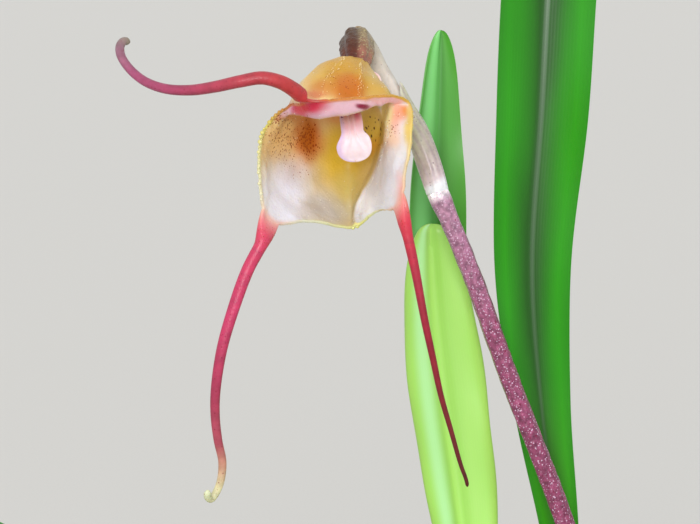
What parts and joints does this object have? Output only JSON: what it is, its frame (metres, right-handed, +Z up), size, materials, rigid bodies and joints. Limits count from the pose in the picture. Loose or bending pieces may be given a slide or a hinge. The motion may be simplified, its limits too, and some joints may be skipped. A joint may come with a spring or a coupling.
{
  "type": "potted orchid",
  "caption": "Potted tufted orchid with strap leaves and one hanging cup-shaped flower with three long thin tails on a leaning stalk.",
  "frame": {"origin": "middle of the pot's underside, on the surface that it stands on", "axes": "+Z up, the flower looks towards -Y and its dorsal tail stretches towards -X"},
  "size_m": [0.202, 0.1817, 0.2641],
  "materials": {
    "clay": "fired unglazed terracotta, matte",
    "bark_and_moss": "bark chips with living moss, rough",
    "stem_green": "fleshy green stem, satin",
    "leaf_green": "leathery leaf with a waxy sheen",
    "papery_sheath": "dry papery sheath, matte",
    "stalk_purple": "purple-pink stalk with glistening papillae",
    "pale_bract": "thin pale membrane over a pale stem",
    "ovary_brown": "ribbed and warty, brown to olive",
    "sepal_cream": "fleshy sepal, white with ochre and brown spots, fine papillae",
    "tail_crimson": "smooth crimson tail fading to a pale green tip",
    "lip_pink": "soft pale pink flesh, satin",
    "column_blush": "soft blush flesh with purple marks"
  },
  "bodies": {
    "root": {"pot": "clay", "growing_medium": "bark_and_moss", "rhizome_and_stems": "stem_green", "leaf_tall": "leaf_green", "sheath_tall": "papery_sheath", "leaf_front": "leaf_green", "sheath_front": "papery_sheath", "leaf_rear": "leaf_green", "sheath_rear": "papery_sheath", "leaf_outer_1": "leaf_green", "sheath_outer_1": "papery_sheath", "leaf_outer_2": "leaf_green", "sheath_outer_2": "papery_sheath", "leaf_outer_3": "leaf_green", "sheath_outer_3": "papery_sheath", "leaf_outer_4": "leaf_green", "sheath_outer_4": "papery_sheath", "leaf_outer_5": "leaf_green", "sheath_outer_5": "papery_sheath", "leaf_outer_6": "leaf_green", "sheath_outer_6": "papery_sheath", "leaf_outer_7": "leaf_green", "sheath_outer_7": "papery_sheath", "leaf_outer_8": "leaf_green", "sheath_outer_8": "papery_sheath", "leaf_outer_9": "leaf_green", "sheath_outer_9": "papery_sheath", "flower_stalk": "stalk_purple", "stalk_bract_lower": "papery_sheath", "stalk_bract_upper": "papery_sheath", "floral_bract": "pale_bract", "pedicel": "pale_bract", "ovary": "ovary_brown", "sepal_cup": "sepal_cream", "tail_dorsal": "tail_crimson", "tail_left": "tail_crimson", "tail_right": "tail_crimson", "column": "column_blush", "petal_left": "column_blush", "petal_right": "column_blush", "lip": "lip_pink"}
  },
  "joints": []
}
